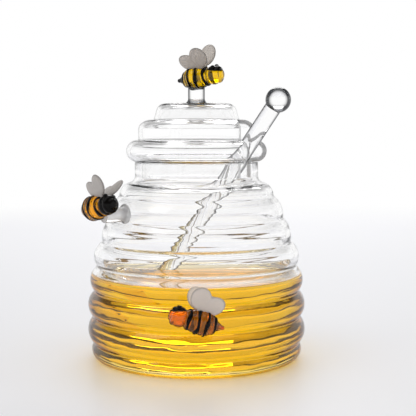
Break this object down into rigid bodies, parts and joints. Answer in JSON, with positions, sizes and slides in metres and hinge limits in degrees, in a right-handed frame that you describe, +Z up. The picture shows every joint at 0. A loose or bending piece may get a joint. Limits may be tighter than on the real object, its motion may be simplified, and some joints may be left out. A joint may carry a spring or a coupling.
{
  "type": "honey jar",
  "caption": "Beehive-shaped clear glass honey jar with a notched stepped lid, a glass dipper standing in golden honey, and small amber glass bees on lid and wall.",
  "frame": {"origin": "the middle of the jar's flat foot, on the table", "axes": "+Z up; the side that carries the low bee faces -Y; the dipper leans out towards +X"},
  "size_m": [0.0961, 0.109, 0.1372],
  "materials": {
    "clear_glass": "clear blown borosilicate glass, fire polished",
    "honey": "clear golden honey",
    "amber_glass": "amber lampworked glass with black bands",
    "milky_glass": "milky white lampworked glass"
  },
  "bodies": {
    "root": {"jar": "clear_glass", "honey": "honey", "lid": "clear_glass", "dipper": "clear_glass", "top_bee_body": "amber_glass", "top_bee_left_wing": "milky_glass", "top_bee_right_wing": "milky_glass", "top_bee_post": "clear_glass", "side_bee_body": "amber_glass", "side_bee_left_wing": "milky_glass", "side_bee_right_wing": "milky_glass", "side_bee_post": "clear_glass", "front_bee_body": "amber_glass", "front_bee_left_wing": "milky_glass", "front_bee_right_wing": "milky_glass", "front_bee_post": "clear_glass"}
  },
  "joints": []
}
